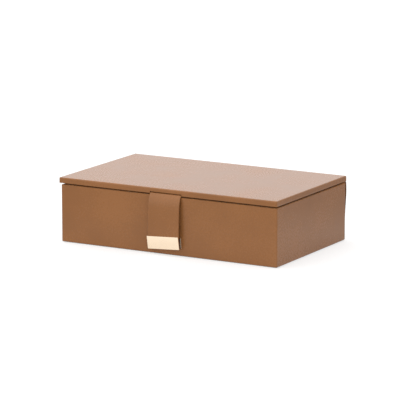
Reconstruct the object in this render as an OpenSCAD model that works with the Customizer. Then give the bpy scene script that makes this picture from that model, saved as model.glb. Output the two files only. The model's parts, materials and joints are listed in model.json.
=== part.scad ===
// Leather-covered stationery box with a flat hinged lid and a magnetic strap.
// X runs to the right, Y to the back and Z up. The origin is the middle of the underside.
// The strap's side view is drawn in two sizes: s, how far a point stands out in front
// of the case, and z, its height.

/* [Case] */
// Width of the case over its leather, left to right
case_w = 300; // [220:1:380]
// Depth of the case over its leather, front to back
case_d = 180; // [150:1:260]
// Height of the case, from the table to its leather rim
case_h = 73.2; // [60:0.1:120]
// Thickness of the greyboard walls
wall_t = 4; // [3:0.5:6]
// Thickness of the greyboard base
base_t = 3; // [2:0.5:5]

/* [Leather] */
// Thickness of the leather cloth
leather_t = 0.9; // [0.7:0.1:1.2]
// Outside radius of a leather-covered edge
edge_r = 1.2; // [0.8:0.1:1.6]
// Width of leather that is turned under the base and under the lid board
turn_under = 15; // [8:1:20]
// Height of leather that is turned over the rim and down inside the case
turn_over = 12; // [6:1:16]
// Thickness of the sheet under the base
sheet_t = 0.6; // [0.4:0.1:1.5]
// How far the sheet under the base stops short of the case's edges
sheet_inset = 3; // [2:0.5:6]

/* [Lining] */
// Thickness of a padded wall lining where it covers the turned-over leather
lining_t = 1.2; // [0.8:0.1:2]
// Thickness of the padded floor lining
floor_t = 1.8; // [1:0.1:3]
// Height of bare leather that shows inside, between the rim and the linings
rim_show = 2.5; // [2:0.5:5]

/* [Lid] */
// Thickness of the lid over its leather
lid_t = 7; // [6:0.1:10]
// Play between the rim and the underside of the lid
lid_gap = 0.3; // [0.2:0.1:0.6]
// How far the lid stands out past each side of the case, if set in the middle
lid_over_side = 1.4; // [0:0.1:3]
// How far the lid stands out past the front of the case
lid_over_front = 0.2; // [0:0.1:1]
// How far the lid and its strap sit to the right of the case's middle, negative for left
lid_set = -1.8; // [-2:0.1:2]
// Radius of the lid's upper back edge, where the leather runs on to the spine
lid_back_r = 2.2; // [1.6:0.1:3]
// Thickness of the lining panel under the lid, which drops into the case
panel_t = 1.5; // [1:0.1:2]
// Play between the lid's lining panel and the leather inside the case
panel_play = 2.6; // [2.2:0.1:5]

/* [Hinge] */
// How far the spine leather stands off the case at the fold
spine_stand = 1.4; // [0.8:0.1:2]
// Height of spine leather below the fold that isn't glued to the case
spine_free = 28; // [15:1:40]
// How far the spine leather stops short of each side of the case
spine_inset = 0.8; // [0.4:0.1:3]
// Height of the spine leather's lower edge above the table
spine_foot = 2.2; // [1.8:0.1:6]

/* [Strap] */
// Width of the strap
strap_w = 43; // [25:1:60]
// Thickness of the strap
strap_t = 2; // [1.8:0.1:2.4]
// Thickness of the strap's skived end, where it is glued under the lid
root_t = 1.4; // [1.3:0.1:1.5]
// Thickness of the strap's face leather and of its backing
skin_t = 0.5; // [0.4:0.05:0.6]
// Length of the strap's end that is glued under the lid
strap_hold = 28; // [20:1:40]
// How deep the strap's end is let into the lid board
strap_let = 0.6; // [0.5:0.1:0.8]
// Height of the notch in the lid's front edge that the strap comes out of
notch_h = 2.8; // [2.2:0.1:3.4]
// How far back that notch runs, to where the strap is glued
notch_run = 3; // [2:0.5:6]
// How far the strap bows out of its fold at the lid
strap_bow = 4.7; // [3:0.1:6]
// Drop over which that bow comes to about two thirds of its full size
bow_drop = 5; // [4:0.5:8]
// How far the strap drifts outwards for each millimetre that it drops
strap_drift = 0.045; // [0.03:0.005:0.06]
// Length of strap over which the clip draws it back towards the case
tuck_run = 27.5; // [24:0.5:30]
// Width of bare face leather on the back of the strap, along each edge
strap_hem = 3; // [2:0.5:5]

/* [Clip] */
// Width of the metal clip on the strap's end
clip_over = 0.2; // [0:0.1:1]
// Height of the clip's front plate
clip_h = 15; // [12:0.5:18]
// Height of the clip's lower edge above the table
clip_foot = 7.8; // [5:0.1:12]
// Thickness of the clip's metal
clip_t = 0.9; // [0.8:0.05:1]
// How far the front plate's upper edge stands out past its lower edge
clip_flare = 2.8; // [2:0.1:4]
// How much lower the back plate is than the front plate
clip_back_drop = 2; // [1:0.5:3]
// Play between the closed clip and the case
clip_gap = 0.3; // [0.2:0.05:0.5]
// Play on each face of the strap inside the clip
strap_play = 0.1; // [0.05:0.05:0.2]

/* [Magnets] */
// Diameter of each magnet
magnet_d = 10; // [6:1:11]
// Thickness of each magnet
magnet_t = 2; // [1.5:0.1:2.2]
// Distance between the two magnets of a pair
magnet_pitch = 22; // [14:1:30]

/* [Hidden] */

leather_color = [0.60, 0.42, 0.28];
suede_color = [0.78, 0.68, 0.56];
board_color = [0.62, 0.58, 0.52];
card_color = [0.84, 0.80, 0.72];
metal_color = [0.92, 0.76, 0.52];
magnet_color = [0.62, 0.63, 0.66];
foam_color = [0.20, 0.19, 0.18];

eps = 0.01;

// Heights of the case's layers
under_z = sheet_t;
base_z = under_z + leather_t;
wall_z = base_z + base_t;
rim_board_z = case_h - leather_t;
wall_h = rim_board_z - wall_z;
lining_top = case_h - rim_show;

// Plan sizes of the boards and of the space between them
board_w = case_w - 2 * leather_t;
board_d = case_d - 2 * leather_t;
inner_w = board_w - 2 * wall_t;
inner_d = board_d - 2 * wall_t;
lining_full = leather_t + lining_t;
clear_w = inner_w - 2 * lining_full;
clear_d = inner_d - 2 * lining_full;

// The lid, whose back face is flush with the spine leather at the fold
lid_w = case_w + 2 * lid_over_side;
lid_front = -case_d / 2 - lid_over_front;
lid_back = case_d / 2 + leather_t + spine_stand;
lid_d = lid_back - lid_front;
lid_z = case_h + lid_gap;
lid_board_z = lid_z + leather_t;
lid_board_h = lid_t - 2 * leather_t;

// Width between the lid's turned-under sides and of the hinge's inner leather, whose
// middle is the case's
window_w = lid_w - 2 * turn_under - 2 * abs(lid_set);

// The strap leaves the lid in a 45 degree bend, whose upper surface has this radius
root_bend = root_t + clip_gap;
notch_z = lid_board_z + strap_let;
notch_side = 0.4;
bend_s = lid_over_front - 1.1;
root_s = bend_s + root_bend * sin(45);
root_z = notch_z - root_bend * (1 - cos(45));
strap_end_z = clip_foot + clip_t + 0.3;
strap_drop = root_z - strap_end_z;
strap_start = 0.15;
strap_rows = 20;
strap_drops = [for (i = [0 : strap_rows])
    strap_start + (strap_drop - strap_start) * pow(i / strap_rows, 1.6)];
edge_round = skin_t + 0.15;

// The clip takes the magnets and the strap between its plates, and so draws the strap's
// end back from where it would hang
clip_d = 2 * clip_t + magnet_t + strap_t + 2 * strap_play;
strap_end_s = clip_gap + clip_d - clip_t - strap_play;
strap_tuck = root_s + strap_bow + strap_drift * strap_drop - strap_end_s;

// Middle of the magnets, up the clip's back plate
magnet_z = clip_foot + clip_t + (clip_h - clip_back_drop - clip_t) / 2;
magnet_x = [-magnet_pitch / 2, magnet_pitch / 2];

// A cuboid with its middle at x, y and its lower face at z
module slab(w, d, h, x = 0, y = 0, z = 0) {
    translate([x - w / 2, y - d / 2, z])
        cube([w, d, h]);
}

// A cuboid with rounded edges, the upper back one with its own radius
module soft_slab(w, d, h, r, back_r, x = 0, y = 0, z = 0) {
    steps = [0 : 15 : 75];
    translate([x, y, z])
        hull() {
            slab(w - 2 * r, d - r - back_r, h, y = (r - back_r) / 2);
            slab(w - 2 * r, d - 2 * r, h - back_r);
            for (sx = [-1, 1], a = steps) {
                foot = r * (1 - sin(a));
                translate([sx * (w / 2 - r), r - d / 2, foot])
                    cylinder(r = r * cos(a), h = h - 2 * foot, $fn = 24);
                translate([sx * (w / 2 - r), d / 2 - r, foot])
                    cylinder(r = r * cos(a), h = h - back_r - foot, $fn = 24);
            }
            for (a = steps)
                translate([0, d / 2 - back_r, h - back_r])
                    rotate([0, 90, 0])
                        cylinder(r = back_r - r * (1 - cos(a)),
                            h = w - 2 * r * (1 - sin(a)), center = true, $fn = 24);
        }
}

// Extrudes an outline drawn in y and z along X, with its middle at x
module along_x(w, x = 0) {
    translate([x - w / 2, 0, 0])
        rotate([90, 0, 90])
            linear_extrude(height = w)
                children();
}

// The same for an outline drawn in s and z, in front of the case
module in_front(w) {
    along_x(w, lid_set)
        translate([-case_d / 2, 0])
            mirror([1, 0])
                children();
}

// The underside: a thin sheet over the turned-under leather and its filler
module base_sheet() {
    color(leather_color)
        slab(case_w - 2 * sheet_inset, case_d - 2 * sheet_inset, sheet_t);
}

module base_filler() {
    color(card_color)
        slab(case_w - 2 * turn_under, case_d - 2 * turn_under, leather_t, z = under_z);
}

module base_board() {
    color(board_color)
        slab(board_w, board_d, base_t, z = base_z);
}

// Front and back walls run the whole width, with the side walls between them
module long_wall(side) {
    slab(board_w, wall_t, wall_h, y = side * (board_d - wall_t) / 2, z = wall_z);
}

module short_wall(side) {
    slab(wall_t, inner_d, wall_h, x = side * (board_w - wall_t) / 2, z = wall_z);
}

// Discs in the front wall's outer face, under its leather
module wall_discs(d) {
    for (x = magnet_x)
        translate([lid_set + x, -board_d / 2, magnet_z])
            rotate([-90, 0, 0])
                cylinder(d = d, h = magnet_t, $fn = 48);
}

module front_board() {
    color(board_color)
        difference() {
            long_wall(-1);
            wall_discs(magnet_d);
        }
}

module wall_magnets() {
    color(magnet_color)
        wall_discs(magnet_d);
}

module back_board() {
    color(board_color)
        long_wall(1);
}

module left_board() {
    color(board_color)
        short_wall(-1);
}

module right_board() {
    color(board_color)
        short_wall(1);
}

// The room that the hinge strip takes on the back wall's rim and inside it
module hinge_strip_case(grow = 0) {
    strip_back = case_d / 2 - edge_r;
    strip_front = inner_d / 2 - leather_t;
    slab(window_w, strip_back - strip_front, leather_t + grow,
        y = (strip_back + strip_front) / 2, z = rim_board_z);
    slab(window_w, leather_t, turn_over - leather_t + eps,
        y = inner_d / 2 - leather_t / 2, z = case_h - turn_over);
}

// One wrap of leather round the four walls, turned under the base and over the rim
module case_cover() {
    color(leather_color)
        difference() {
            soft_slab(case_w, case_d, case_h - under_z, edge_r, edge_r, z = under_z);
            difference() {
                slab(board_w, board_d, rim_board_z - base_z, z = base_z);
                difference() {
                    slab(inner_w, inner_d, turn_over, z = case_h - turn_over);
                    slab(inner_w - 2 * leather_t, inner_d - 2 * leather_t, case_h,
                        z = wall_z);
                }
            }
            slab(inner_w - 2 * leather_t, inner_d - 2 * leather_t, case_h, z = wall_z);
            slab(case_w - 2 * turn_under, case_d - 2 * turn_under, 2 * leather_t + under_z,
                z = 0);
            hinge_strip_case(1);
        }
}

// The sheet that comes down from the lid: it eases in to the case's back over its free
// height, and is glued on below that
module spine_cover() {
    rows = 8;
    free = [for (i = [0 : rows])
        let (t = i / rows)
            [case_d / 2 + spine_stand * t * t * (3 - 2 * t), case_h - spine_free * (1 - t)]];
    inner = concat([[case_d / 2, spine_foot]], free);
    outer = [for (i = [rows + 1 : -1 : 0]) inner[i] + [leather_t, 0]];
    color(leather_color)
        along_x(case_w - 2 * spine_inset)
            polygon(concat(inner, outer));
}

// Inner leather of the hinge: its lower half, on the rim and down inside
module hinge_strip_lower() {
    color(leather_color)
        hinge_strip_case();
}

// A padded panel whose back is stepped for the turned-over leather
module wall_lining(length) {
    turned_z = case_h - turn_over;
    color(suede_color)
        along_x(length)
            polygon([
                [0, wall_z],
                [lining_full, wall_z],
                [lining_full, lining_top],
                [leather_t, lining_top],
                [leather_t, turned_z],
                [0, turned_z]
            ]);
}

module front_lining() {
    translate([0, -inner_d / 2, 0])
        wall_lining(inner_w - 2 * leather_t);
}

module back_lining() {
    mirror([0, 1, 0])
        front_lining();
}

module left_lining() {
    translate([-inner_w / 2, 0, 0])
        rotate([0, 0, -90])
            wall_lining(clear_d);
}

module right_lining() {
    mirror([1, 0, 0])
        left_lining();
}

module floor_lining() {
    color(suede_color)
        slab(clear_w, clear_d, floor_t, z = wall_z);
}

// The strap's end and the start of its bend at the lid's edge, in s and z
module root_outline(last) {
    lower_r = root_bend - root_t;
    bend_z = notch_z - root_bend;
    upper = [for (a = [0 : 5 : last]) [bend_s + root_bend * sin(a), bend_z + root_bend * cos(a)]];
    lower = [for (a = [last : -5 : 0]) [bend_s + lower_r * sin(a), bend_z + lower_r * cos(a)]];
    polygon(concat([[-strap_hold, notch_z]], upper, lower, [[-strap_hold, notch_z - root_t]]));
}

// The groove for the strap under the lid, open at the front and below, and higher at
// its mouth, where the strap bends
module strap_groove() {
    mouth = lid_over_front + 1;
    in_front(strap_w + 2 * notch_side) {
        translate([-strap_hold, lid_z - 1])
            square([strap_hold + mouth, notch_z - lid_z + 1]);
        translate([-notch_run, lid_z - 1])
            square([notch_run + mouth, notch_h + 1]);
    }
}

// The lid board, rounded along its upper back edge
module lid_core() {
    board_r = lid_back_r - leather_t;
    front = lid_front + leather_t;
    back = lid_back - leather_t;
    along_x(lid_w - 2 * leather_t, lid_set) {
        translate([front, lid_board_z])
            square([back - front - board_r, lid_board_h]);
        translate([front, lid_board_z])
            square([back - front, lid_board_h - board_r]);
        translate([back - board_r, lid_board_z + lid_board_h - board_r])
            circle(r = board_r, $fn = 48);
    }
}

module lid_board() {
    color(board_color)
        difference() {
            lid_core();
            strap_groove();
        }
}

// The room inside the lid's turned-under leather, grown up and down for a cut
module lid_window(front, back, grow = 0) {
    slab(window_w, back - front, leather_t + 2 * grow, y = (front + back) / 2,
        z = lid_z - grow);
}

// Leather over the lid's top and edges, and under its front and sides
module lid_cover() {
    color(leather_color)
        difference() {
            soft_slab(lid_w, lid_d, lid_t, edge_r, lid_back_r, x = lid_set,
                y = (lid_front + lid_back) / 2, z = lid_z);
            lid_core();
            lid_window(lid_front + turn_under, lid_back - leather_t, 1);
            strap_groove();
        }
}

module lid_filler() {
    color(card_color)
        difference() {
            lid_window(lid_front + turn_under, lid_back - leather_t - turn_under);
            strap_groove();
        }
}

// Inner leather of the hinge: its upper half, under the lid's back edge
module hinge_strip_upper() {
    color(leather_color)
        lid_window(lid_back - leather_t - turn_under, lid_back - leather_t);
}

// The panel under the lid that drops inside the rim
module lid_lining() {
    inset = leather_t + panel_play;
    color(suede_color)
        slab(inner_w - 2 * inset, inner_d - 2 * inset, panel_t, z = lid_z - panel_t);
}

// The skived end of the strap, glued into the lid's groove
module strap_anchor() {
    color(leather_color)
        in_front(strap_w)
            root_outline(35);
}

// The strap's front face below its bend, h being the drop from the bend
function tuck(h) = max(0, (h - strap_drop + tuck_run) / tuck_run);
function strap_line(h) = [
    root_s + strap_bow * (1 - exp(-h / bow_drop)) + strap_drift * h - strap_tuck * pow(tuck(h), 2),
    root_z - h
];
function strap_slope(h) = strap_line(h + 0.05) - strap_line(h - 0.05);
function inward(h) = let (d = strap_slope(h)) [d[1], -d[0]] / norm(d);
function strap_depth(h) = strap_t - (strap_t - root_t) * exp(-h / bow_drop);

// A point of the strap: x across it, n into it from the front face
function strap_point(h, x, n) = let (p = strap_line(h) + n * inward(h))
    [lid_set + x, -case_d / 2 - p[0], p[1]];

// One corner of a layer's section, in x and n: sx and sn choose the corner, and the
// arc goes through 90 degrees from the angle start
function corner(sx, sn, w, n0, n1, r, start, turn = 1) = [
    for (a = [0, 45, 90])
        [sx * (w / 2 - r) + r * cos(start + turn * a),
            (sn > 0 ? n1 - r : n0 + r) + r * sin(start + turn * a)]
];

// Outline of the strap's section from hem to hem, inset from its outer faces
function hemmed(t, inset) = let (w = strap_w - 2 * inset, n0 = inset, n1 = t - inset,
    r = edge_round - inset, hem_x = strap_w / 2 - strap_hem) concat(
        [[-hem_x, n1]],
        corner(-1, 1, w, n0, n1, r, 90),
        corner(-1, -1, w, n0, n1, r, 180),
        corner(1, -1, w, n0, n1, r, 270),
        corner(1, 1, w, n0, n1, r, 0),
        [[hem_x, n1]]
    );

// A ring of strap points at the drop h, from two rails of section points
function ring(h, rail_a, rail_b) = let (count = len(rail_b)) [
    for (p = concat(rail_a, [for (i = [1 : count]) rail_b[count - i]]))
        strap_point(h, p[0], p[1])
];

// Joins rings of points from the strap's bend to its end, and closes both ends
module sweep(rings) {
    k = len(rings[0]);
    rows = len(rings) - 1;
    last = rows * k;
    sides = [for (i = [0 : rows - 1], j = [0 : k - 1])
        let (a = i * k + j, b = i * k + (j + 1) % k)
            each [[a, b, b + k], [a, b + k, a + k]]];
    ends = [for (j = [0 : k / 2 - 2])
        let (b = k - 1 - j)
            each [[j, b - 1, j + 1], [j, b, b - 1],
                [last + j, last + j + 1, last + b - 1], [last + j, last + b - 1, last + b]]];
    polyhedron(points = [for (one = rings) each one], faces = concat(sides, ends),
        convexity = 4);
}

// Face leather: over the front and both edges, and hemmed on to the back
module strap_cover() {
    color(leather_color)
        sweep([for (h = strap_drops)
            ring(h, hemmed(strap_depth(h), 0), hemmed(strap_depth(h), skin_t))]);
}

module strap_core() {
    w = strap_w - 2 * skin_t;
    r = edge_round - skin_t;
    color(card_color)
        sweep([for (h = strap_drops)
            let (n1 = strap_depth(h) - skin_t)
                ring(h,
                    concat(corner(-1, -1, w, skin_t, n1, r, 180),
                        corner(1, -1, w, skin_t, n1, r, 270)),
                    concat(corner(-1, 1, w, skin_t, n1, r, 180, -1),
                        corner(1, 1, w, skin_t, n1, r, 90, -1)))]);
}

// Backing between the hems
module strap_backing() {
    hem_x = strap_w / 2 - strap_hem;
    color(suede_color)
        sweep([for (h = strap_drops)
            let (t = strap_depth(h))
                ring(h, [[-hem_x, t - skin_t], [hem_x, t - skin_t]],
                    [[-hem_x, t], [hem_x, t]])]);
}

// The clip's side view: a front plate that leans out, a foot and a back plate
module clip_outline() {
    back = clip_gap;
    foot = clip_foot;
    top = clip_foot + clip_h;
    offset(r = 0.35, $fn = 24)
        offset(delta = -0.35)
            polygon([
                [back, foot],
                [back + clip_d, foot],
                [back + clip_d + clip_flare, top],
                [back + clip_d + clip_flare - clip_t, top],
                [back + clip_d - clip_t, foot + clip_t],
                [back + clip_t, foot + clip_t],
                [back + clip_t, top - clip_back_drop],
                [back, top - clip_back_drop]
            ]);
}

module strap_clip() {
    color(metal_color)
        in_front(strap_w + 2 * clip_over)
            clip_outline();
}

// Discs that stand on the clip's back plate
module clip_discs() {
    for (x = magnet_x)
        translate([lid_set + x, -case_d / 2 - clip_gap - clip_t, magnet_z])
            rotate([90, 0, 0])
                cylinder(d = magnet_d, h = magnet_t, $fn = 48);
}

// A wedge of foam between the back plate and the strap, which holds the magnets
module clip_pad() {
    back = clip_gap + clip_t;
    low_z = strap_end_z;
    high_z = clip_foot + clip_h - clip_back_drop;
    low_s = strap_end_s - strap_t - strap_play;
    high_s = strap_line(root_z - high_z)[0] - strap_t - strap_play;
    color(foam_color)
        difference() {
            in_front(strap_w - 2)
                polygon([[back, low_z], [low_s, low_z], [high_s, high_z], [back, high_z]]);
            clip_discs();
        }
}

module clip_magnets() {
    color(magnet_color)
        clip_discs();
}

base_sheet();
base_filler();
base_board();
front_board();
back_board();
left_board();
right_board();
wall_magnets();
case_cover();
spine_cover();
hinge_strip_lower();
front_lining();
back_lining();
left_lining();
right_lining();
floor_lining();
lid_board();
lid_cover();
lid_filler();
lid_lining();
hinge_strip_upper();
strap_anchor();
strap_cover();
strap_core();
strap_backing();
strap_clip();
clip_pad();
clip_magnets();
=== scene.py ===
import json
import math

import bmesh
import bpy
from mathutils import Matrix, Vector, noise


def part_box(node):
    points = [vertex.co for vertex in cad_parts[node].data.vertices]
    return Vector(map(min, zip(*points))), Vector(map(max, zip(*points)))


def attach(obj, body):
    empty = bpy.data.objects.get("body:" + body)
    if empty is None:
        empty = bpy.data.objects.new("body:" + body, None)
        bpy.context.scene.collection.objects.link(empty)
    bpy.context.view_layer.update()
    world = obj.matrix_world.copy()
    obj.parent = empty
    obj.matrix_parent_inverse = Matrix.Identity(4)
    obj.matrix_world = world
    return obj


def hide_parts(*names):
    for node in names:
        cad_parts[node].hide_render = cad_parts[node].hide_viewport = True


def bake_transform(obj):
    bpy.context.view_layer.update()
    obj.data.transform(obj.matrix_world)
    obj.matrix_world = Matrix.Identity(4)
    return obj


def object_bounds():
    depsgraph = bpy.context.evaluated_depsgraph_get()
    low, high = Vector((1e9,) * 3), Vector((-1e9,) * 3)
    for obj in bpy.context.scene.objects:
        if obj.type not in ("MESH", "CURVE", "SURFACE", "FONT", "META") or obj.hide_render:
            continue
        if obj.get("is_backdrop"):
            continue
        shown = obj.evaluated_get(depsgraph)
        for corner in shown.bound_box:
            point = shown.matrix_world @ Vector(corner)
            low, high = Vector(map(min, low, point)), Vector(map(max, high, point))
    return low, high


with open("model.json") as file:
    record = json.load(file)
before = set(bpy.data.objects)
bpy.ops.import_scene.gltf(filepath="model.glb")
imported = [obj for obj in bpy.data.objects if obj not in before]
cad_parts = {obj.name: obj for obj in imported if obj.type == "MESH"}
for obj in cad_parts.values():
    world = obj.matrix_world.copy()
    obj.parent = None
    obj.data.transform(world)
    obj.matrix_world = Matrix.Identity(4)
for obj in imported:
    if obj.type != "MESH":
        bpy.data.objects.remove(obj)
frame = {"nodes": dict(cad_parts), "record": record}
cad_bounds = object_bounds()

# Lengths are in millimetres until a mesh is made.
MM = 0.001

# Values that are closer than this count as the same
TOUCH = 0.01


def node_box(name):
    """Lowest and highest corner of a CAD node, in millimetres."""
    low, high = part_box(name)
    return low / MM, high / MM


CASE_LOW, CASE_HIGH = node_box("case_cover")
BASE_FILLER_LOW, BASE_FILLER_HIGH = node_box("base_filler")
LOWER_STRIP_LOW, LOWER_STRIP_HIGH = node_box("hinge_strip_lower")
UPPER_STRIP_LOW, UPPER_STRIP_HIGH = node_box("hinge_strip_upper")
SPINE_LOW, SPINE_HIGH = node_box("spine_cover")
LID_LOW, LID_HIGH = node_box("lid_cover")
LID_FILLER_LOW = node_box("lid_filler")[0]
STRAP_LOW, STRAP_HIGH = node_box("strap_cover")
ANCHOR_HIGH = node_box("strap_anchor")[1]
CLIP_LOW, CLIP_HIGH = node_box("strap_clip")

# The thickness that the CAD gives the leather, and that of the skin drawn here, which
# keeps clear of what it covers
LEATHER = BASE_FILLER_HIGH.z - BASE_FILLER_LOW.z
SKIN_PLAY = 0.04
SKIN = LEATHER - SKIN_PLAY

# Outer radii of the covers' edges, of the lid's upper back edge, and of the two edges
# that face each other in the groove between the rim and the lid
EDGE_R = 1.2
LID_BACK_R = 2.2
GROOVE_R = 0.45
# A grid line this far beside a rounding, or this far from the edge itself, keeps the
# roundness from spreading
BESIDE = 1.4
BEND_ROOM = 2.6

# Towards the outside, the leather falls away from the rim and rises under the lid: how
# far, over what distance in from the outside, and on which rows of the rim
RIM_FALL = 1.0
LID_RISE = 0.5
FALL_RUN = 4.6
FALL_ROWS = (1.1, 1.8, 2.5, 3.2, 3.9)
# It starts this far in front of the case's and the lid's back, and is full this much
# further on
RIM_FALL_START = 7.0
LID_RISE_START = 8.0
FALL_FADE = 5.0
# The lid's edge takes part in the rise up to this height
RISE_HEIGHT = 2.0

# How far the lid's leather stands proud of its place in the CAD, above and at the back
LID_PROUD = 0.4
BACK_PROUD = 1.4
# The lid's turned-under leather ends this far in front of the sheet that goes down
FLAP_PLAY = 0.05

# The sheet goes through the fold in a neck. Its right edge lies this far inside the
# lid's, and below the fold it widens to the spine's full width within this drop
NECK_INSET = 1.35
NECK_DROP = 1.0
FOLD_ROWS = 9
# The fold turns a little past its two ends
FOLD_EASE = 0.04
# The spine leather comes back to the case over this height below the fold, and bellies
# out on its way: how far, at what drop, and over what run that is gone
SPINE_FREE = 50.0
SPINE_BULGE = 1.1
BULGE_DROP = 13.0
BULGE_RUN = 37.0


class Sheet:
    """Quads that share their corners by place, as leather does round a board."""

    def __init__(self):
        self.points = []
        self.index = {}
        self.faces = []

    def at(self, place):
        """The number of the point at this place, which is added if it is new."""
        key = tuple(round(c, 3) for c in place)
        if key not in self.index:
            self.index[key] = len(self.points)
            self.points.append(key)
        return self.index[key]

    def patch(self, rows, cols, place, keep=None):
        """A grid of quads: place(row, col) is a point, keep(row, col) picks cells."""
        for r0, r1 in zip(rows, rows[1:]):
            for c0, c1 in zip(cols, cols[1:]):
                if keep and not keep((r0 + r1) / 2, (c0 + c1) / 2):
                    continue
                ring = ((r0, c0), (r0, c1), (r1, c1), (r1, c0))
                self.faces.append([self.at(place(r, c)) for r, c in ring])


def grid_faces(rows, cols, closed=True):
    """Quads between points that are listed row by row. A closed row is a ring."""
    faces = []
    for i in range(rows - 1):
        for j in range(cols if closed else cols - 1):
            k = (j + 1) % cols
            faces.append([i * cols + j, i * cols + k, (i + 1) * cols + k, (i + 1) * cols + j])
    return faces


def piece(name, points, faces, material):
    """A mesh object from points in millimetres, with its faces turned outwards."""
    mesh = bpy.data.meshes.new(name)
    mesh.from_pydata([[c * MM for c in p] for p in points], [], faces)
    mesh.materials.append(material)
    obj = bpy.data.objects.new(name, mesh)
    bpy.context.scene.collection.objects.link(obj)
    work = bmesh.new()
    work.from_mesh(mesh)
    bmesh.ops.recalc_face_normals(work, faces=work.faces)
    work.to_mesh(mesh)
    work.free()
    return obj


def loft(name, rings, material):
    """A closed solid through rings of points."""
    k = len(rings[0])
    last = (len(rings) - 1) * k
    faces = grid_faces(len(rings), k)
    faces.append(list(range(k)))
    faces.append([last + j for j in range(k)][::-1])
    return piece(name, [p for ring in rings for p in ring], faces, material)


def settle(obj, sharp=50):
    """Applies the modifiers, then shades smooth except at sharp edges."""
    graph = bpy.context.evaluated_depsgraph_get()
    mesh = bpy.data.meshes.new_from_object(obj.evaluated_get(graph))
    obj.modifiers.clear()
    obj.data = mesh
    mesh.polygons.foreach_set("use_smooth", [True] * len(mesh.polygons))
    mesh.set_sharp_from_angle(angle=math.radians(sharp))
    return obj


def round_edges(obj, radius_of, segments=4):
    """Bevels each edge by the radius that radius_of(a, b) gives for its ends."""
    mesh = obj.data
    radii = []
    for edge in mesh.edges:
        a, b = (mesh.vertices[i].co / MM for i in edge.vertices)
        radii.append(radius_of(a, b))
    widest = max(radii)
    weights = mesh.attributes.new("bevel_weight_edge", "FLOAT", "EDGE")
    weights.data.foreach_set("value", [r / widest for r in radii])
    bevel = obj.modifiers.new("round", "BEVEL")
    bevel.limit_method = "WEIGHT"
    bevel.width = widest * MM
    bevel.segments = segments
    bevel.use_clamp_overlap = False


def thicken(obj, thickness, edge=None):
    """Gives a sheet its thickness, inwards, and its cut edges a finish of their own, which may
    be a darker one that paints shade on them.
    """
    solid = obj.modifiers.new("thickness", "SOLIDIFY")
    if edge:
        obj.data.materials.append(edge)
        solid.material_offset_rim = 1
    solid.thickness = thickness * MM
    solid.offset = -1
    solid.use_even_offset = True


def lines(*stops, step=12.0):
    """Grid lines through the stops, with even lines no more than a step apart between."""
    stops = sorted(set(round(s, 3) for s in stops))
    out = [stops[0]]
    for a, b in zip(stops, stops[1:]):
        count = max(1, math.ceil((b - a) / step))
        out += [a + (b - a) * i / count for i in range(1, count + 1)]
    return out


def soft_lines(low, high, *stops, step=12.0, support=BEND_ROOM):
    """The same between two rounded edges, with a line beside each edge."""
    return lines(low, low + support, high - support, high, *stops, step=step)


def clamp(t):
    """Keeps a share between 0 and 1."""
    return min(1.0, max(0.0, t))


def smooth(t):
    """Goes from 0 to 1 with t, and starts and ends level."""
    t = clamp(t)
    return t * t * (3 - 2 * t)


def wander(place, size, seed):
    """Smooth noise from -1 to 1 over a size in millimetres."""
    return noise.noise(Vector(place) / size + Vector((seed, 2.7 * seed, 5.1)))


def on(line, *values):
    """True when every value lies on the line."""
    return all(abs(v - line) < TOUCH for v in values)


class Graph:
    """A short way to write a material's nodes. Scales are in features to a metre."""

    def __init__(self, name, owner=None):
        self.material = owner or bpy.data.materials.new(name)
        self.material.use_nodes = True
        self.tree = self.material.node_tree
        self.tree.nodes.clear()
        where = "Generated" if owner else "Object"
        self.coords = self.tree.nodes.new("ShaderNodeTexCoord").outputs[where]

    def put(self, socket, value):
        """Links an output to a socket, or sets the socket to a value."""
        if isinstance(value, bpy.types.NodeSocket):
            self.tree.links.new(value, socket)
        elif socket.type == "RGBA":
            socket.default_value = (*value[:3], 1.0)
        else:
            socket.default_value = value

    def add(self, kind, sockets=None, **settings):
        """A node of this kind, with its settings and inputs."""
        node = self.tree.nodes.new("ShaderNode" + kind)
        for key, value in settings.items():
            setattr(node, key, value)
        for key, value in (sockets or {}).items():
            self.put(node.inputs[key], value)
        return node

    def noise(self, scale, detail=3.0, roughness=0.5, stretch=None):
        """Soft noise, which may be stretched along an axis."""
        where = self.coords
        if stretch:
            where = self.add("Mapping", {"Vector": where, "Scale": stretch}).outputs[0]
        node = self.add("TexNoise", {"Vector": where, "Scale": scale, "Detail": detail,
                                     "Roughness": roughness})
        return node.outputs["Fac"]

    def cells(self, scale, feature="F1"):
        """The distance to the nearest of many scattered points."""
        node = self.add("TexVoronoi", {"Vector": self.coords, "Scale": scale},
                        feature=feature)
        return node.outputs["Distance"]

    def remap(self, value, low, high, to_low, to_high):
        """Carries the range from low to high over to another."""
        node = self.add("MapRange", {"Value": value, "From Min": low, "From Max": high,
                                     "To Min": to_low, "To Max": to_high})
        return node.outputs["Result"]

    def spread(self, value):
        """Noise stays near its middle: this makes it run from 0 to 1."""
        return self.remap(value, 0.3, 0.7, 0.0, 1.0)

    def math(self, operation, a, b):
        """The result of an operation on two values."""
        return self.add("Math", {0: a, 1: b}, operation=operation).outputs[0]

    def mix(self, factor, a, b):
        """Goes from colour a to colour b with the factor."""
        return self.add("Mix", {0: factor, 6: a, 7: b}, data_type="RGBA").outputs[2]

    def towards(self, side):
        """How much the place's direction points to this side."""
        node = self.add("VectorMath", {0: self.coords, 1: side}, operation="DOT_PRODUCT")
        return node.outputs["Value"]

    def bump(self, height, strength, distance, normal=None):
        """Relief of this depth in millimetres, on top of another if one is given."""
        sockets = {"Height": height, "Strength": strength, "Distance": distance * MM}
        if normal:
            sockets["Normal"] = normal
        return self.add("Bump", sockets).outputs["Normal"]

    def finish(self, **sockets):
        """Ends in a shader with these sockets, whose names have _ for each space."""
        named = {key.replace("_", " "): value for key, value in sockets.items()}
        shader = self.add("BsdfPrincipled", named)
        self.add("OutputMaterial", {"Surface": shader.outputs[0]})
        return self.material


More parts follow.
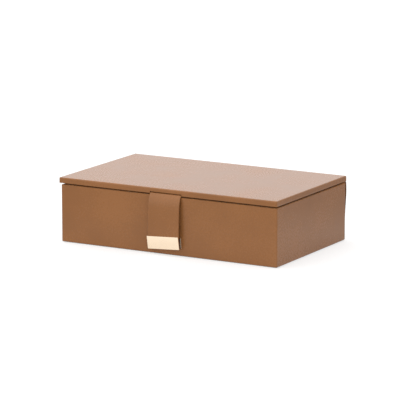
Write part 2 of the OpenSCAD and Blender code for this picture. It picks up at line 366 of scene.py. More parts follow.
def linear(red, green, blue):
    """A colour as it looks on screen, from 0 to 255, as light."""
    values = []
    for c in (red, green, blue):
        c = c / 255
        values.append(c / 12.92 if c <= 0.04045 else ((c + 0.055) / 1.055) ** 2.4)
    return tuple(values)


def shade(colour, share):
    """A darker or lighter tone of a colour."""
    return tuple(min(1.0, c * share) for c in colour)


def leather_material(name, colour, grain=1.0, ior=1.38):
    """Smooth coated leather: a fine pebble, darker between its pebbles as painted shade, faint
    clouds of tone and a satin gloss.
    """
    g = Graph(name)
    clouds = g.noise(18.0, detail=4.0)
    fine = g.noise(420.0)
    pebble = g.cells(1350.0, feature="SMOOTH_F1")
    tone = g.mix(g.spread(clouds), shade(colour, 0.90), shade(colour, 1.07))
    # Darker between the pebbles: painted shade in the grain's valleys.
    valley_shade = g.remap(pebble, 0.25, 0.75, 0.0, 0.12)
    tone = g.mix(valley_shade, tone, shade(colour, 0.6))
    rough = g.remap(g.math("ADD", clouds, fine), 0.7, 1.3, 0.23, 0.30)
    normal = g.bump(pebble, 0.05 * grain, 0.25)
    normal = g.bump(fine, 0.10 * grain, 0.3, normal)
    return g.finish(Base_Color=tone, Roughness=rough, IOR=ior, Normal=normal,
                    Sheen_Weight=0.08, Sheen_Roughness=0.25)


def suede_material(name, colour):
    """Short-napped cloth: matt, mottled where the nap lies differently."""
    g = Graph(name)
    nap = g.noise(38.0, detail=5.0, roughness=0.6)
    brushed = g.noise(160.0, stretch=(1.0, 0.35, 1.0))
    fibre = g.noise(2600.0, detail=2.0, roughness=0.7)
    mottle = g.remap(g.math("ADD", nap, brushed), 0.75, 1.25, 0.0, 1.0)
    tone = g.mix(mottle, shade(colour, 0.84), shade(colour, 1.10))
    tone = g.mix(g.remap(fibre, 0.3, 0.7, 0.0, 0.35), tone, shade(colour, 0.72))
    normal = g.bump(fibre, 0.45, 0.25)
    normal = g.bump(brushed, 0.12, 0.4, normal)
    return g.finish(Base_Color=tone, Roughness=0.92, Normal=normal, Sheen_Weight=0.35,
                    Sheen_Roughness=0.45, Specular_IOR_Level=0.25)


def board_material(name, colour, speckle):
    """Pressed board: pulp clouds with darker fibres."""
    g = Graph(name)
    pulp = g.noise(240.0, detail=5.0, roughness=0.65)
    fibres = g.noise(900.0, detail=2.0, stretch=(1.0, 0.2, 1.0))
    tone = g.mix(g.spread(pulp), shade(colour, 0.88), colour)
    tone = g.mix(g.remap(fibres, 0.62, 0.72, 0.0, speckle), tone, shade(colour, 0.45))
    normal = g.bump(pulp, 0.25, 0.2)
    return g.finish(Base_Color=tone, Roughness=0.88, Normal=normal, Specular_IOR_Level=0.3)


def metal_material(name, colour, rough, stretch):
    """Polished plate with faint hairlines."""
    g = Graph(name)
    hair = g.noise(900.0, roughness=0.6, stretch=stretch)
    haze = g.noise(45.0)
    roughness = g.remap(g.math("ADD", hair, haze), 0.7, 1.3, rough * 0.75, rough * 1.3)
    tone = g.mix(g.spread(haze), shade(colour, 0.97), colour)
    normal = g.bump(hair, 0.03, 0.05)
    return g.finish(Base_Color=tone, Metallic=1.0, Roughness=roughness, Normal=normal)


def foam_material(name, colour):
    """Closed-cell foam: small pores, darker inside as painted shade."""
    g = Graph(name)
    pores = g.cells(2200.0)
    # Darker in the pores: painted shade.
    tone = g.mix(g.remap(pores, 0.1, 0.6, 0.0, 1.0), shade(colour, 0.55), colour)
    normal = g.bump(pores, 0.5, 0.2)
    return g.finish(Base_Color=tone, Roughness=0.85, Normal=normal)


# Leather outside, on the hinge's inner strip, at cut edges, which are darkened as painted
# shade, and where it is turned in, which has no gloss and is a little darker as painted shade
LEATHER_COLOUR = linear(152, 101, 59)
LEATHER_FINISH = leather_material("tan_leather", LEATHER_COLOUR)
STRIP_FINISH = leather_material("tan_leather_strip", shade(LEATHER_COLOUR, 0.97), grain=1.2)
# Cut edges: the leather at about a third of its tone, painted shade.
CUT_EDGE_SHADE_FINISH = leather_material("tan_leather_edge_shade", shade(LEATHER_COLOUR, 0.35))
# Turned-in leather: nine tenths of the tone, painted shade in the groove between rim and lid,
# and no gloss
GROOVE_SHADE_FINISH = leather_material("tan_leather_groove_shade", shade(LEATHER_COLOUR, 0.9), ior=1.08)
SUEDE_FINISH = suede_material("beige_suede", linear(196, 171, 141))
GREYBOARD_FINISH = board_material("greyboard", linear(158, 150, 138), 0.5)
CARD_FINISH = board_material("card", linear(214, 205, 186), 0.15)
CLIP_FINISH = metal_material("pale_gold", (0.98, 0.80, 0.60), 0.14, (0.12, 1.0, 1.0))
MAGNET_FINISH = metal_material("nickel", (0.62, 0.62, 0.64), 0.25, (1.0, 1.0, 1.0))
FOAM_FINISH = foam_material("foam", (0.035, 0.033, 0.031))


# The strap's middle, width and length under the lid
STRAP_SET = (STRAP_LOW.x + STRAP_HIGH.x) / 2
STRAP_W = STRAP_HIGH.x - STRAP_LOW.x
STRAP_HOLD = ANCHOR_HIGH.y - CASE_LOW.y

# The notch in the lid's front edge that the strap comes out of: the play beside the
# strap, the height, and how far it runs in over the case
NOTCH_PLAY = 0.4
NOTCH_HALF = STRAP_W / 2 + NOTCH_PLAY
NOTCH_H = 2.8
NOTCH_RUN = 3.0
# Its lining starts this far behind the lid's face and above the lid's underside
NOTCH_SET_BACK = 0.55
NOTCH_FOOT = 0.9
NOTCH_LINING_T = 0.25
SHELF_PLAY = 0.02

# The hinge's inner strip: the play at its ends, its half width and its thickness, and
# its play to the fold
STRIP_PLAY = 0.2
HINGE_HALF = UPPER_STRIP_HIGH.x - STRIP_PLAY
STRIP_T = 0.4
FOLD_PLAY = 0.02
# The bed in the rim's leather that it lies in: depth, play, and the run of its ends
BED_DEPTH = 0.35
BED_END = HINGE_HALF + 0.3
BED_FADE = 2.0


def arc(steps=4):
    """Sine and cosine pairs through a quarter turn, without its start."""
    angles = [math.pi / 2 * (i + 1) / steps for i in range(steps)]
    return [(math.sin(a), math.cos(a)) for a in angles]


def plan_ring(inset, xs, ys):
    """A rounded rectangle this far inside the case's outline, anticlockwise."""
    beside_corner = 1.5
    least_r = 0.25
    least_room = 0.5
    half = (CASE_HIGH.x - inset, CASE_HIGH.y - inset)
    r = max(EDGE_R - inset, least_r)
    points = []
    for side in range(4):
        turn = math.radians(90 * side)
        ahead = Vector((math.cos(turn), math.sin(turn)))
        out = Vector((math.sin(turn), -math.cos(turn)))
        along, away = half if side % 2 == 0 else half[::-1]
        stops = xs if side % 2 == 0 else ys
        near = along - r - beside_corner
        fit = min(1.0, near / (stops[-1] + least_room))
        points += [ahead * v + out * away for v in (-near, *[v * fit for v in stops], near)]
        middle = ahead * (along - r) + out * (away - r)
        points += [middle + (ahead * sn + out * cs) * r for sn, cs in [(0, 1), *arc()]]
    return points


def falling(inset):
    """How much of its fall the leather has at this distance in from the outside."""
    return smooth((FALL_RUN - inset) / (FALL_RUN - GROOVE_R))


def paint_groove_shade(obj, picks):
    """Gives the faces that picks(centre) chooses the matt finish of turned-in leather, whose
    darker tone paints the shade in the groove.
    """
    obj.data.materials.append(GROOVE_SHADE_FINISH)
    slot = len(obj.data.materials) - 1
    for face in obj.data.polygons:
        if picks(face.center / MM):
            face.material_index = slot


def case_leather():
    """One wrap round the four walls: turned under the base, up the walls, over the rim
    and down inside, with its corners rounded."""
    z0, z1 = CASE_LOW.z, CASE_HIGH.z
    r = EDGE_R
    # How far the leather is turned under the base, and in over the rim
    foot = CASE_HIGH.x - BASE_FILLER_HIGH.x
    rim = CASE_HIGH.y - LOWER_STRIP_LOW.y
    far_x, far_y = CASE_HIGH.x - foot - 2, CASE_HIGH.y - foot - 2
    bed = (-BED_END - BED_FADE, -BED_END, BED_END, BED_END + BED_FADE)
    bed_front = CASE_HIGH.y - rim - 0.5
    xs = lines(-far_x, far_x, *bed, step=8.0)
    ys = lines(-far_y, far_y, step=8.0)

    # How far in, how high, and how much the hinge strip's bed moves it down and back
    profile = [(inset, z0, 0, 0) for inset in (foot, foot - 5, 5.0, r + BESIDE, r)]
    profile += [(r * (1 - sn), z0 + r * (1 - cs), 0, 0) for sn, cs in arc()]
    profile += [(0, z, 0, 0) for z in lines(z0 + r + BESIDE, z1 - r - BESIDE, step=8.0)]
    profile += [(0, z1 - GROOVE_R - RIM_FALL, 0, 0), (0, z1 - GROOVE_R, 0, 0)]
    profile += [(GROOVE_R * (1 - cs), z1 - GROOVE_R * (1 - sn), sn, 0) for sn, cs in arc()]
    profile += [(inset, z1, 1, 0) for inset in (*FALL_ROWS, rim - r)]
    profile += [(rim - r * (1 - sn), z1 - r * (1 - cs), cs, sn) for sn, cs in arc()]
    profile += [(rim, z, 0, 1) for z in (z1 - BEND_ROOM, z1 - 6.0, LOWER_STRIP_LOW.z)]

    points = []
    for inset, z, down, back in profile:
        for p in plan_ring(inset, xs, ys):
            fade = clamp((BED_END + BED_FADE - abs(p.x)) / BED_FADE)
            sunk = BED_DEPTH * fade if p.y > bed_front else 0.0
            away = clamp((CASE_HIGH.y - RIM_FALL_START - p.y) / FALL_FADE)
            over_rim = z > z1 - GROOVE_R - TOUCH
            fall = RIM_FALL * away * falling(inset) if over_rim else 0.0
            points.append((p.x, p.y + back * sunk, z - down * sunk - fall))
    faces = grid_faces(len(profile), len(points) // len(profile))
    obj = piece("case_leather", points, faces, LEATHER_FINISH)
    thicken(obj, SKIN)
    settle(obj)
    # The rim's top and the groove get the darker matt leather: painted shade.
    paint_groove_shade(obj, lambda p: p.z > z1 - RIM_FALL - GROOVE_R)
    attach(obj, "case")
    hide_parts("case_cover")


def lid_leather():
    """One sheet over the lid, down its back edge, through the fold and down the spine."""
    x0, y0, z0 = LID_LOW
    x1, y1, z1 = LID_HIGH + Vector((0, BACK_PROUD, LID_PROUD))
    # The underside is open over the hinge strip, and over the strap and its glued end
    open_x = (-HINGE_HALF - STRIP_PLAY, HINGE_HALF + STRIP_PLAY)
    open_y = LID_FILLER_LOW.y
    notch_x = (STRAP_SET - NOTCH_HALF, STRAP_SET + NOTCH_HALF)
    notch_z = z0 + NOTCH_H
    groove_y = CASE_LOW.y + STRAP_HOLD

    flap_end = y1 - LEATHER - FLAP_PLAY
    neck = (SPINE_LOW.x, x1 - NECK_INSET)
    glued_back = CASE_HIGH.y + LEATHER
    fold_z = SPINE_HIGH.z
    foot_z = SPINE_LOW.z
    glued_z = fold_z - SPINE_FREE

    xs = soft_lines(x0, x1, *open_x, *neck, *notch_x)
    ys = soft_lines(y0, y1, open_y, groove_y)
    zs = [z0, notch_z, z1 - BEND_ROOM, z1]
    middle_x = [x for x in xs if neck[0] - TOUCH <= x <= neck[1] + TOUCH]

    def under(x, y):
        in_opening = open_x[0] < x < open_x[1] and y > open_y
        in_groove = notch_x[0] < x < notch_x[1] and y < groove_y
        return not in_opening and not in_groove and y < ys[-2]

    def beside_notch(x, z):
        return not (notch_x[0] < x < notch_x[1] and z < notch_z)

    sheet = Sheet()
    sheet.patch(xs, ys, lambda x, y: (x, y, z1))
    sheet.patch(xs, ys, lambda x, y: (x, y, z0), keep=under)
    # The underside's last cells: beside the neck they reach the back edge, and over it
    # they stop at the sheet's inner face.
    for a, b in zip(xs, xs[1:]):
        middle = (a + b) / 2
        if open_x[0] < middle < open_x[1]:
            continue
        outside = middle < neck[0] or middle > neck[1]
        last = y1 if outside else flap_end
        ring = [(a, ys[-2]), (b, ys[-2]), (b, last), (a, last)]
        if outside and on(neck[0], b):
            ring.insert(2, (b, flap_end))
        if outside and on(neck[1], a):
            ring.append((a, flap_end))
        sheet.faces.append([sheet.at((x, y, z0)) for x, y in ring])
    for x in (x0, x1):
        sheet.patch(ys, zs, lambda y, z: (x, y, z))
    sheet.patch(xs, zs, lambda x, z: (x, y0, z), keep=beside_notch)
    sheet.patch(xs, zs, lambda x, z: (x, y1, z))

    fold = [z0 + (fold_z - z0) * i / FOLD_ROWS for i in range(FOLD_ROWS + 1)]
    down = lines(foot_z, glued_z, fold_z - NECK_DROP, fold_z, step=3.0)[::-1][1:]

    def spine(x, z):
        drop = fold_z - z
        if drop <= 0.001:
            return (x, y1, z)
        free = smooth((z - glued_z) / (fold_z - glued_z))
        widen = min(1.0, drop / NECK_DROP)
        bulge = smooth(drop / BULGE_DROP) - smooth((drop - BULGE_DROP) / BULGE_RUN)
        spread = (SPINE_HIGH.x - neck[1]) * widen * (x - neck[0]) / (neck[1] - neck[0])
        y = glued_back + (y1 - glued_back) * free + SPINE_BULGE * bulge
        return (x + spread, y, z)

    sheet.patch(fold + down, middle_x, lambda z, x: spine(x, z))

    obj = piece("lid_leather", sheet.points, sheet.faces, LEATHER_FINISH)

    def radius_of(a, b):
        if max(a.z, b.z) < z0 - TOUCH:
            return 0.0
        outer = sum(on(s, p, q) for s, p, q in
                    ((x0, a.x, b.x), (x1, a.x, b.x), (y0, a.y, b.y), (y1, a.y, b.y),
                     (z0, a.z, b.z), (z1, a.z, b.z)))
        if outer < 2:
            return 0.0
        if on(y1, a.y, b.y):
            if on(z1, a.z, b.z):
                return LID_BACK_R
            return 0.0 if on(z0, a.z, b.z) else EDGE_R
        return GROOVE_R if on(z0, a.z, b.z) else EDGE_R

    round_edges(obj, radius_of)
    # Its cut edges get the darkened leather: painted shade.
    thicken(obj, SKIN, CUT_EDGE_SHADE_FINISH)
    settle(obj)
    # The turned-under leather rises a little towards the front and the sides.
    rise_start = y1 - LID_RISE_START
    for v in obj.data.vertices:
        p = v.co / MM
        height = p.z - z0
        if -TOUCH < height < RISE_HEIGHT and p.y < rise_start:
            away = min(1.0, (rise_start - p.y) / FALL_FADE)
            inset = min(p.x - x0, x1 - p.x, p.y - y0)
            left = 1 - height / (RISE_HEIGHT + TOUCH)
            v.co.z += LID_RISE * away * falling(inset) * left * MM
    # The lid's underside near its edges gets the darker matt leather: painted shade in the
    # groove.
    groove_shade_top = z0 + LID_RISE + 0.25
    paint_groove_shade(obj, lambda p: z0 - 0.1 < p.z < groove_shade_top and p.y < rise_start)
    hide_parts("lid_cover", "spine_cover")
    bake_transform(obj)


def notch_lining():
    """Thin leather that lines the notch over the strap: its roof, sides and back, in the
    darker matt leather that paints the notch's shade.
    """
    half = NOTCH_HALF - TOUCH
    x0, x1 = STRAP_SET - half, STRAP_SET + half
    y0, y1 = LID_LOW.y + NOTCH_SET_BACK, CASE_LOW.y + NOTCH_RUN - TOUCH
    low, high = LID_LOW.z + NOTCH_FOOT, LID_LOW.z + NOTCH_H - TOUCH
    shelf = ANCHOR_HIGH.z + SHELF_PLAY
    sheet = Sheet()
    xs, ys = lines(x0, x1, step=8.0), lines(y0, y1, step=1.0)
    zs = [low, shelf, high]
    sheet.patch(xs, ys, lambda x, y: (x, y, high))
    sheet.patch(xs, zs[1:], lambda x, z: (x, y1, z))
    for x in (x0, x1):
        sheet.patch(ys, zs, lambda y, z: (x, y, z))
    # The lining takes the darker matt leather: painted shade in the notch.
    obj = piece("notch_lining", sheet.points, sheet.faces, GROOVE_SHADE_FINISH)
    roof = next(f for f in obj.data.polygons if abs(f.normal.z) > 0.5)
    if roof.normal.z < 0:
        obj.data.flip_normals()
    thicken(obj, NOTCH_LINING_T)
    settle(obj)
    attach(obj, "lid")


def hinge_lining():
    """The inner leather of the hinge: up the back wall, over its rim, through the fold
    and under the lid's back edge, in one strip."""
    top = LOWER_STRIP_HIGH.z + FOLD_EASE
    under = LID_LOW.z
    inner_y = LOWER_STRIP_LOW.y
    fold_y = LID_HIGH.y + BACK_PROUD - LEATHER - STRIP_T - FOLD_PLAY
    r = EDGE_R
    path = [(inner_y, z) for z in lines(LOWER_STRIP_LOW.z, top - r, step=3.0)]
    path += [(inner_y + r * (1 - cs), top - r * (1 - sn)) for sn, cs in arc(6)]
    path += [(y, top) for y in lines(inner_y + r, fold_y, step=1.0)[1:]]
    path += [(fold_y, top + (under - top) * i / FOLD_ROWS) for i in range(1, FOLD_ROWS)]
    path += [(y, under) for y in lines(UPPER_STRIP_LOW.y, fold_y, step=2.5)[::-1]]
    across = lines(-HINGE_HALF, HINGE_HALF)
    points = [(x, y, z) for y, z in path for x in across]
    faces = grid_faces(len(path), len(across), closed=False)
    obj = piece("hinge_lining", points, faces, STRIP_FINISH)
    if obj.data.polygons[0].normal.y > 0:
        obj.data.flip_normals()
    thicken(obj, STRIP_T)
    settle(obj, sharp=70)
    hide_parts("hinge_strip_lower", "hinge_strip_upper")
    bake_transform(obj)


# A padded panel is full this far in from its edges, and its pad rises and falls by this
# share of its crown, in waves of this size
CROWN_RUN = 7.0
WAVE_SHARE = 0.3
WAVE_SIZE = 28.0


def padded_panel(name, low, high, face, material, radius=0.55, crown=0.25, seed=1.0,
                 step=6.0):
    """A card panel padded and wrapped in cloth. face is the axis and sign it shows."""
    axis, sign = face
    thin = 6.0
    spans = [soft_lines(low[i], high[i], step=step, support=1.5)
             if high[i] - low[i] > thin else [low[i], high[i]] for i in range(3)]
    sheet = Sheet()
    for x in (low.x, high.x):
        sheet.patch(spans[1], spans[2], lambda y, z: (x, y, z))
    for y in (low.y, high.y):
        sheet.patch(spans[0], spans[2], lambda x, z: (x, y, z))
    for z in (low.z, high.z):
        sheet.patch(spans[0], spans[1], lambda x, y: (x, y, z))
    obj = piece(name, sheet.points, sheet.faces, material)
    shown = high[axis] if sign > 0 else low[axis]
    others = [i for i in range(3) if i != axis]

    def radius_of(a, b):
        outer = [i for i in range(3)
                 if on(low[i], a[i], b[i]) or on(high[i], a[i], b[i])]
        if len(outer) < 2:
            return 0.0
        if axis in outer and not on(shown, a[axis], b[axis]):
            return 0.0
        return radius

    round_edges(obj, radius_of, segments=3)
    settle(obj)
    # The middle of the face has its full height, and its edges are drawn in.
    for v in obj.data.vertices:
        p = v.co / MM
        if abs(p[axis] - shown) > TOUCH:
            continue
        reach = max(0.0, min(min(p[i] - low[i], high[i] - p[i]) for i in others))
        t = min(1.0, reach / CROWN_RUN)
        wave = 0.5 + 0.5 * wander(p, WAVE_SIZE, seed)
        drawn = crown * (1 - math.sin(t * math.pi / 2)) + WAVE_SHARE * crown * t * wave
        v.co[axis] -= sign * drawn * MM
    return obj


def linings():
    """The padded panels: four walls, the floor and the lid."""
    panels = (
        ("front_lining", "case", (1, 1), 1.3),
        ("back_lining", "case", (1, -1), 2.1),
        ("left_lining", "case", (0, 1), 3.7),
        ("right_lining", "case", (0, -1), 4.9),
        ("floor_lining", "case", (2, 1), 5.3),
        ("lid_lining", "lid", (2, -1), 6.1),
    )
    for name, body, face, seed in panels:
        low, high = node_box(name)
        obj = padded_panel(name + "_pad", low, high, face, SUEDE_FINISH, seed=seed)
        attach(obj, body)
        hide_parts(name)


def base_leather():
    """The thin sheet under the base."""
    low, high = node_box("base_sheet")
    obj = padded_panel("base_leather", low, high, (2, -1), STRIP_FINISH, radius=0.2,
                       crown=0.0, step=24.0)
    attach(obj, "case")
    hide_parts("base_sheet")


# The strap's side view is drawn in s, how far it stands out in front of the case, and z.
# Its thickness in full and at its thin glued end, and the width of its hems
STRAP_T = 2.0
ROOT_T = 1.4
STRAP_HEM = 3.0
# The clip's play to the case, and that of the foam to the strap
CLIP_GAP = 0.3
FOAM_PLAY = 0.12

# The strap comes out of the notch at this height. It starts to bend down here, on this
# radius and through this many degrees, and the bend ends at ROOT_S and ROOT_Z
NOTCH_Z = ANCHOR_HIGH.z
BEND_S = -0.9
ROOT_BEND = ROOT_T + CLIP_GAP
ROOT_TURN = 45
ROOT_S = BEND_S + ROOT_BEND * math.sin(math.radians(ROOT_TURN))
ROOT_Z = NOTCH_Z - ROOT_BEND * (1 - math.cos(math.radians(ROOT_TURN)))
# Then it bows out by this much, mostly within this drop, and drifts out at this slope
STRAP_BOW = 4.7
BOW_DROP = 5.0
STRAP_DRIFT = 0.045
# Over its last run it tucks in, to end in the clip
TUCK_RUN = 27.5
STRAP_END_Z = CLIP_LOW.z + 1.2
STRAP_END_S = 5.3
STRAP_DROP = ROOT_Z - STRAP_END_Z
STRAP_TUCK = ROOT_S + STRAP_BOW + STRAP_DRIFT * STRAP_DROP - STRAP_END_S

# The clip sits a little askew on the strap: how much it rises towards the right. The
# strap's end takes that on over this run, which starts this far above the end
CLIP_TILT = 0.06
TILT_START = 14.0
TILT_RUN = 12.0


def askew(x):
    """How far the clip's tilt lifts what is at this x."""
    return CLIP_TILT * (x - STRAP_SET)


def tilt(obj):
    """Turns a piece by the clip's tilt."""
    middle_z = (CLIP_LOW.z + CLIP_HIGH.z) / 2
    for v in obj.data.vertices:
        x, z = v.co.x / MM, v.co.z / MM
        v.co.x -= CLIP_TILT * (z - middle_z) * MM
        v.co.z += askew(x) * MM


def strap_line(h):
    """The strap's front face at the drop h below its bend."""
    tuck = max(0.0, (h - STRAP_DROP + TUCK_RUN) / TUCK_RUN)
    bow = STRAP_BOW * (1 - math.exp(-h / BOW_DROP))
    return (ROOT_S + bow + STRAP_DRIFT * h - STRAP_TUCK * tuck ** 2, ROOT_Z - h)


def strap_inward(h):
    """The direction into the strap from its front face."""
    a, b = strap_line(h - 0.05), strap_line(h + 0.05)
    ds, dz = b[0] - a[0], b[1] - a[1]
    size = math.hypot(ds, dz)
    return (dz / size, -ds / size)


def strap_depth(h):
    """The strap's thickness, which grows from its thin end."""
    return STRAP_T - (STRAP_T - ROOT_T) * math.exp(-h / BOW_DROP)


def strap_station(h):
    """Front point, inward direction and thickness at the drop h."""
    return (strap_line(h), strap_inward(h), strap_depth(h))


def strap_bend(angle):
    """The front face at this angle through the bend, in radians."""
    return (BEND_S + ROOT_BEND * math.sin(angle), NOTCH_Z - ROOT_BEND * (1 - math.cos(angle)))


def strap_stations():
    """The strap's stations from the glued end to the clip."""
    out = []
    for s in lines(-STRAP_HOLD, BEND_S, step=3.5)[:-1]:
        out.append(((s, NOTCH_Z), (0.0, -1.0), ROOT_T))
    for degrees in range(0, ROOT_TURN, 5):
        angle = math.radians(degrees)
        out.append((strap_bend(angle), (-math.sin(angle), -math.cos(angle)), ROOT_T))
    rows = 44
    for i in range(rows + 1):
        out.append(strap_station((STRAP_DROP + 0.1) * (i / rows) ** 1.5))
    return out


def strap_rings(stations, section):
    """Points of a section, given for a thickness, at each station."""
    rings = []
    for front, inward, depth in stations:
        held = clamp((STRAP_END_Z + TILT_START - front[1]) / TILT_RUN)
        ring = []
        for x, n in section(depth):
            s = front[0] + n * inward[0]
            z = front[1] + n * inward[1]
            ring.append((STRAP_SET + x, CASE_LOW.y - s, z + held * askew(STRAP_SET + x)))
        rings.append(ring)
    return rings


def strap_section(depth):
    """Face leather with rounded edges, hemmed on to the back, and a shallow bed between
    the hems for the backing."""
    half = STRAP_W / 2
    hem = half - STRAP_HEM
    flat = half - 2.2
    r = 0.65
    bed = 0.12
    bed_edge = 0.15
    cells = 10
    front = [(-half + r, 0.0)]
    front += [(-flat + 2 * flat * i / cells, 0.0) for i in range(cells + 1)]
    front += [(half - r, 0.0)]
    turns = [math.radians(a) for a in (30, 60, 90)]
    right = [(half - r + r * math.sin(a), r * (1 - math.cos(a))) for a in turns]
    right += [(x, depth - n) for x, n in right[::-1]]
    back = [(half - r, depth), (hem + bed_edge, depth), (hem, depth - bed),
            (-hem, depth - bed), (-hem - bed_edge, depth), (-half + r, depth)]
    left = [(-x, n) for x, n in right[::-1]]
    return front + right + back + left


def strap_leather():
    """The strap in one length: glued under the lid, bent over its edge, and down."""
    obj = loft("strap_leather", strap_rings(strap_stations(), strap_section), LEATHER_FINISH)
    settle(obj)
    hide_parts("strap_cover", "strap_anchor")
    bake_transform(obj)


def strap_suede():
    """The backing between the hems."""
    play = 0.12
    half = STRAP_W / 2 - STRAP_HEM - play
    start = 1.2
    rows = 40
    stations = [strap_station(start + (STRAP_DROP - start) * (i / rows) ** 1.3)
                for i in range(rows + 1)]

    def section(depth):
        """A shallow strip with the edges of its face taken off."""
        top, bottom = depth - 0.02, depth - 0.3
        shoulder = top - 0.08
        flat = half - 0.12
        return [(-half, bottom), (-half, shoulder), (-flat, top),
                (flat, top), (half, shoulder), (half, bottom)]

    obj = loft("strap_suede", strap_rings(stations, section), SUEDE_FINISH)
    settle(obj)
    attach(obj, "strap")
    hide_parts("strap_backing")


# The clip's plate: thickness, inner and outer depth, how far its front leans out, how
# much higher that is than the CAD's, and how much lower the back ends
CLIP_T = 0.9
CLIP_D = 6.0
CLIP_FLARE = 1.6
CLIP_RAISE = 0.8
CLIP_BACK_DROP = 2.0
# Its radii: the bends outside and inside, and the softened cut edges
CLIP_BEND_R = 0.85
CLIP_INNER_R = 0.3
CLIP_EDGE_R = 0.22
FOAM_R = 0.12


def along_x(outline, low, high):
    """Rings of an outline in s and z, from one x to another."""
    return [[(x, CASE_LOW.y - s, z) for s, z in outline] for x in lines(low, high, step=8.0)]


def strap_clip():
    """The bent metal plate, with rounded bends and softened edges."""
    foot, top = CLIP_LOW.z, CLIP_HIGH.z + CLIP_RAISE
    back = CLIP_GAP
    front = back + CLIP_D
    outline = [
        (back, foot), (front, foot), (front + CLIP_FLARE, top),
        (front + CLIP_FLARE - CLIP_T, top), (front - CLIP_T, foot + CLIP_T),
        (back + CLIP_T, foot + CLIP_T), (back + CLIP_T, top - CLIP_BACK_DROP),
        (back, top - CLIP_BACK_DROP),
    ]
    obj = loft("clip_plate", along_x(outline, CLIP_LOW.x, CLIP_HIGH.x), CLIP_FINISH)

    def radius_of(a, b):
        if abs(a.x - b.x) > TOUCH:
            if on(foot, a.z, b.z):
                return CLIP_BEND_R
            if on(foot + CLIP_T, a.z, b.z):
                return CLIP_INNER_R
            return CLIP_EDGE_R
        at_end = on(CLIP_LOW.x, a.x, b.x) or on(CLIP_HIGH.x, a.x, b.x)
        return CLIP_EDGE_R if at_end else 0.0

    round_edges(obj, radius_of)
    settle(obj, sharp=60)
    tilt(obj)
    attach(obj, "strap")
    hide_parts("strap_clip")


def clip_foam():
    """The wedge that holds the clip's magnets."""
    low, high = node_box("clip_pad")
    back = CLIP_GAP + CLIP_T
    low_s = strap_line(STRAP_DROP)[0] - STRAP_T - FOAM_PLAY
    high_s = strap_line(ROOT_Z - high.z)[0] - STRAP_T - FOAM_PLAY
    outline = [(back, low.z), (low_s, low.z), (high_s, high.z), (back, high.z)]
    obj = loft("clip_foam", along_x(outline, low.x, high.x), FOAM_FINISH)
    round_edges(obj, lambda a, b: FOAM_R, segments=2)
    settle(obj)
    tilt(obj)
    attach(obj, "strap")
    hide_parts("clip_pad")


def dress_nodes():
    """Finishes for the CAD nodes that stay."""
    finishes = {
        "greyboard": GREYBOARD_FINISH, "card": CARD_FINISH, "magnet": MAGNET_FINISH,
        "leather": LEATHER_FINISH, "suede": SUEDE_FINISH, "clip_metal": CLIP_FINISH,
        "foam": FOAM_FINISH,
    }
    slots = {part["node"]: part["material_slot"] for part in frame["record"]["subparts"]}
    for name, obj in frame["nodes"].items():
        obj.data.materials.clear()
        obj.data.materials.append(finishes[slots[name]])


WHITE = (1.0, 1.0, 1.0)

# The floor: half its width, its level just under the box, its tone, and what it adds
# where the camera sees it
FLOOR_HALF = 6000.0
FLOOR_LEVEL = -0.1
FLOOR_TONE = 0.5
FLOOR_GLOW = 0.55
# What the floor adds when it is mirrored: white round the object, and less further off
FLOOR_MIRRORED = 0.50
MIRROR_NEAR = 230.0
MIRROR_FAR = 410.0

# The soft light is strongest from this side, and weakest from the other
SKY_SIDE = (-0.45, -0.60, 0.66)
SKY_LOW = 0.4
SKY_HIGH = 1.5
# A broad soft window low behind the object, which its top mirrors at a flat angle
WINDOW_SIDE = (-0.49, 0.85, 0.20)
WINDOW_EDGE = 0.55
WINDOW_GLOW = 0.46


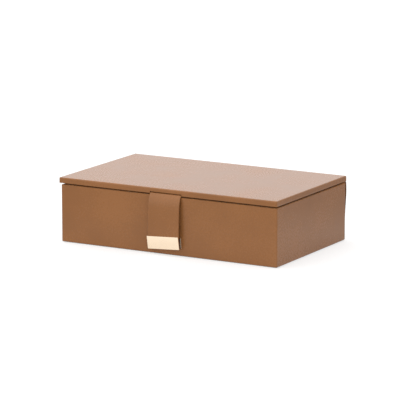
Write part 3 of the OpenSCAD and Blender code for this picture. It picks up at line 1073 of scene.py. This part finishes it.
def floor():
    """A pale floor that takes the contact shadow."""
    g = Graph("floor")
    path = g.add("LightPath")
    seen = g.math("MULTIPLY", path.outputs["Is Camera Ray"], FLOOR_GLOW)
    distance = g.add("VectorMath", {0: g.coords}, operation="LENGTH").outputs["Value"]
    nearby = g.remap(distance, MIRROR_NEAR * MM, MIRROR_FAR * MM, FLOOR_MIRRORED, 0.0)
    mirrored = g.math("MULTIPLY", path.outputs["Is Glossy Ray"], nearby)
    strength = g.math("ADD", seen, mirrored)
    diffuse = g.add("BsdfDiffuse", {"Color": (FLOOR_TONE,) * 3})
    glow = g.add("Emission", {"Color": WHITE, "Strength": strength})
    both = g.add("AddShader", {0: diffuse.outputs[0], 1: glow.outputs[0]})
    g.add("OutputMaterial", {"Surface": both.outputs[0]})
    corners = [(-FLOOR_HALF, -FLOOR_HALF, FLOOR_LEVEL), (FLOOR_HALF, -FLOOR_HALF, FLOOR_LEVEL),
               (FLOOR_HALF, FLOOR_HALF, FLOOR_LEVEL), (-FLOOR_HALF, FLOOR_HALF, FLOOR_LEVEL)]
    piece("floor", corners, [[0, 1, 2, 3]], g.material)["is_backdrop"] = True


def sky():
    """Soft light from all round. The camera and mirrors see it as white or brighter."""
    world = bpy.data.worlds.new("studio")
    bpy.context.scene.world = world
    g = Graph("sky", world)
    path = g.add("LightPath")
    rays = g.math("MAXIMUM", path.outputs["Is Camera Ray"], path.outputs["Is Glossy Ray"])
    rays = g.math("MAXIMUM", rays, path.outputs["Is Transmission Ray"])
    light = g.remap(g.towards(SKY_SIDE), -1.0, 1.0, SKY_LOW, SKY_HIGH)
    window = g.remap(g.towards(WINDOW_SIDE), WINDOW_EDGE, 1.0, 0.0, WINDOW_GLOW)
    light = g.math("ADD", light, window)
    glow = g.add("Background", {"Color": WHITE, "Strength": g.math("MAXIMUM", rays, light)})
    g.add("OutputWorld", {"Surface": glow.outputs[0]})
    bpy.context.scene.view_settings.view_transform = "Standard"


# The photograph's camera: where it looks, from which side, and how far off
AIM = Vector((-8.77, 6.38, 49.64))
YAW = math.radians(29.5)
PITCH = math.radians(11.59)
DISTANCE = 3520.5
LENS = 256.41


def camera():
    """A long lens that looks a little down at the box from its front right."""
    data = bpy.data.cameras.new("camera")
    data.lens = LENS
    data.sensor_width = 36.0
    data.clip_end = 100.0
    obj = bpy.data.objects.new("camera", data)
    bpy.context.scene.collection.objects.link(obj)
    back = Vector((math.sin(YAW) * math.cos(PITCH), -math.cos(YAW) * math.cos(PITCH),
                   math.sin(PITCH)))
    obj.location = (AIM + back * DISTANCE) * MM
    obj.rotation_euler = (-back).to_track_quat("-Z", "Y").to_euler()
    bpy.context.scene.camera = obj


case_leather()
lid_leather()
notch_lining()
hinge_lining()
linings()
base_leather()
strap_leather()
strap_suede()
strap_clip()
clip_foam()
dress_nodes()
floor()
sky()
camera()

boxes = {"cad": cad_bounds, "visual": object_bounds()}
{name: [list(corner) for corner in box] for name, box in boxes.items()}
